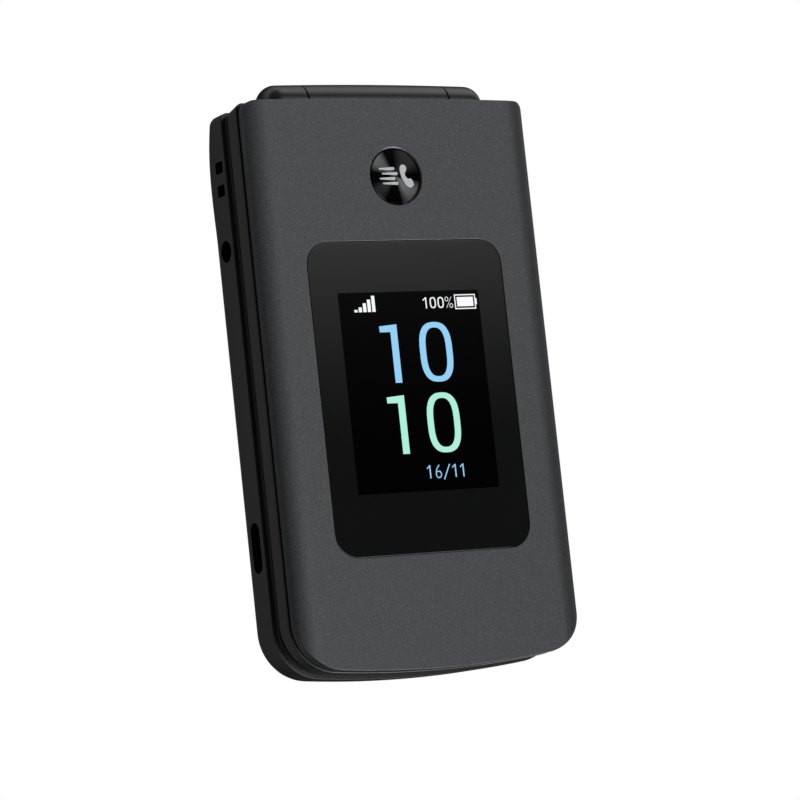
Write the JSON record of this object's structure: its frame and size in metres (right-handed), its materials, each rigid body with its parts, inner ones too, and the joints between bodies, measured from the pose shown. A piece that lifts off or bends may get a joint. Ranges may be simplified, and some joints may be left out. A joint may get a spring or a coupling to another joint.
{
  "type": "flip phone",
  "caption": "Clamshell phone with a grey metal lid, outer display window, round spun-metal key, barrel hinge and a full keypad inside.",
  "frame": {"origin": "under the middle of the closed phone, on the plane that its rear face lies on", "axes": "+X to the right seen from the lid, +Y towards the hinge, +Z out of the lid"},
  "size_m": [0.0594, 0.1079, 0.0178],
  "materials": {
    "cover": "satin grey with fine flake",
    "shell": "satin black",
    "band": "satin black",
    "window": "polished, dark",
    "display": "glossy",
    "dome": "satin",
    "board": "solder mask",
    "module": "matt",
    "mesh": "matt black",
    "magnet": "plated",
    "bumper": "matt",
    "screw": "blackened",
    "flex": "translucent film",
    "steel": "bright",
    "battery": "wrapped film",
    "contact": "gold plated",
    "can": "tinned",
    "flash": "translucent",
    "spun": "spun, black",
    "ring": "satin",
    "key": "satin black"
  },
  "bodies": {
    "base": {"rear_housing": "shell", "front_housing": "band", "hinge_cartridge": "steel", "battery_cover": "shell", "battery": "battery", "battery_contacts": "contact", "main_board": "board", "shield_cans": "can", "dome_sheet": "dome", "keypad_mat": "bumper", "volume_switches": "module", "usb_socket": "steel", "audio_jack": "module", "camera_module": "module", "camera_window": "window", "flash_window": "flash", "loudspeaker": "module", "vibration_motor": "can", "microphone": "can", "sim_holder": "can", "base_screws": "screw"},
    "lid": {"lid_cover": "cover", "lid_frame": "shell", "outer_window": "window", "outer_display": "display", "quick_key_switch": "dome", "lid_board": "board", "lid_inner_housing": "band", "inner_lens": "window", "main_display": "display", "earpiece": "module", "earpiece_mesh": "mesh", "lid_magnet": "magnet", "lid_bumpers": "bumper", "lid_screws": "screw", "hinge_flex": "flex", "hinge_cam": "steel", "hinge_pivot": "steel"},
    "quick_key": {"quick_call_key": "spun"},
    "volume": {"volume_key": "shell"},
    "key_1_cap": {"key_1": "key"},
    "key_2_cap": {"key_2": "key"},
    "key_3_cap": {"key_3": "key"},
    "key_4_cap": {"key_4": "key"},
    "key_5_cap": {"key_5": "key"},
    "key_6_cap": {"key_6": "key"},
    "key_7_cap": {"key_7": "key"},
    "key_8_cap": {"key_8": "key"},
    "key_9_cap": {"key_9": "key"},
    "key_star_cap": {"key_star": "key"},
    "key_0_cap": {"key_0": "key"},
    "key_hash_cap": {"key_hash": "key"},
    "nav_ring_cap": {"nav_ring": "ring"},
    "ok_key_cap": {"ok_key": "ring"},
    "soft_key_left_cap": {"soft_key_left": "key"},
    "soft_key_right_cap": {"soft_key_right": "key"},
    "call_key_cap": {"call_key": "key"},
    "clear_key_cap": {"clear_key": "key"},
    "end_key_cap": {"end_key": "key"}
  },
  "joints": [
    {"name": "lid_hinge", "type": "hinge", "parent": "base", "child": "lid", "pos_m": [0, 0.04965, 0.01], "axis": [-1, 0, 0], "range_deg": [0, 160]},
    {"name": "quick_key_press", "type": "slide", "parent": "lid", "child": "quick_key", "axis": [0, 0, -1], "range_m": [0, 0.0003], "stiffness_N_per_m": 1200},
    {"name": "volume_rock", "type": "hinge", "parent": "base", "child": "volume", "pos_m": [0.02705, 0.02195, 0.006], "axis": [0, 0, 1], "range_deg": [-1.5, 1.5], "stiffness_Nm_per_rad": 0.06},
    {"name": "key_1_press", "type": "slide", "parent": "base", "child": "key_1_cap", "axis": [0, 0, -1], "range_m": [0, 0.0003], "stiffness_N_per_m": 1000},
    {"name": "key_2_press", "type": "slide", "parent": "base", "child": "key_2_cap", "axis": [0, 0, -1], "range_m": [0, 0.0003], "stiffness_N_per_m": 1000},
    {"name": "key_3_press", "type": "slide", "parent": "base", "child": "key_3_cap", "axis": [0, 0, -1], "range_m": [0, 0.0003], "stiffness_N_per_m": 1000},
    {"name": "key_4_press", "type": "slide", "parent": "base", "child": "key_4_cap", "axis": [0, 0, -1], "range_m": [0, 0.0003], "stiffness_N_per_m": 1000},
    {"name": "key_5_press", "type": "slide", "parent": "base", "child": "key_5_cap", "axis": [0, 0, -1], "range_m": [0, 0.0003], "stiffness_N_per_m": 1000},
    {"name": "key_6_press", "type": "slide", "parent": "base", "child": "key_6_cap", "axis": [0, 0, -1], "range_m": [0, 0.0003], "stiffness_N_per_m": 1000},
    {"name": "key_7_press", "type": "slide", "parent": "base", "child": "key_7_cap", "axis": [0, 0, -1], "range_m": [0, 0.0003], "stiffness_N_per_m": 1000},
    {"name": "key_8_press", "type": "slide", "parent": "base", "child": "key_8_cap", "axis": [0, 0, -1], "range_m": [0, 0.0003], "stiffness_N_per_m": 1000},
    {"name": "key_9_press", "type": "slide", "parent": "base", "child": "key_9_cap", "axis": [0, 0, -1], "range_m": [0, 0.0003], "stiffness_N_per_m": 1000},
    {"name": "key_star_press", "type": "slide", "parent": "base", "child": "key_star_cap", "axis": [0, 0, -1], "range_m": [0, 0.0003], "stiffness_N_per_m": 1000},
    {"name": "key_0_press", "type": "slide", "parent": "base", "child": "key_0_cap", "axis": [0, 0, -1], "range_m": [0, 0.0003], "stiffness_N_per_m": 1000},
    {"name": "key_hash_press", "type": "slide", "parent": "base", "child": "key_hash_cap", "axis": [0, 0, -1], "range_m": [0, 0.0003], "stiffness_N_per_m": 1000},
    {"name": "nav_ring_press", "type": "slide", "parent": "base", "child": "nav_ring_cap", "axis": [0, 0, -1], "range_m": [0, 0.0003], "stiffness_N_per_m": 1400},
    {"name": "ok_key_press", "type": "slide", "parent": "base", "child": "ok_key_cap", "axis": [0, 0, -1], "range_m": [0, 0.0003], "stiffness_N_per_m": 1000},
    {"name": "soft_key_left_press", "type": "slide", "parent": "base", "child": "soft_key_left_cap", "axis": [0, 0, -1], "range_m": [0, 0.0003], "stiffness_N_per_m": 1000},
    {"name": "soft_key_right_press", "type": "slide", "parent": "base", "child": "soft_key_right_cap", "axis": [0, 0, -1], "range_m": [0, 0.0003], "stiffness_N_per_m": 1000},
    {"name": "call_key_press", "type": "slide", "parent": "base", "child": "call_key_cap", "axis": [0, 0, -1], "range_m": [0, 0.0003], "stiffness_N_per_m": 1000},
    {"name": "clear_key_press", "type": "slide", "parent": "base", "child": "clear_key_cap", "axis": [0, 0, -1], "range_m": [0, 0.0003], "stiffness_N_per_m": 1000},
    {"name": "end_key_press", "type": "slide", "parent": "base", "child": "end_key_cap", "axis": [0, 0, -1], "range_m": [0, 0.0003], "stiffness_N_per_m": 1000}
  ]
}
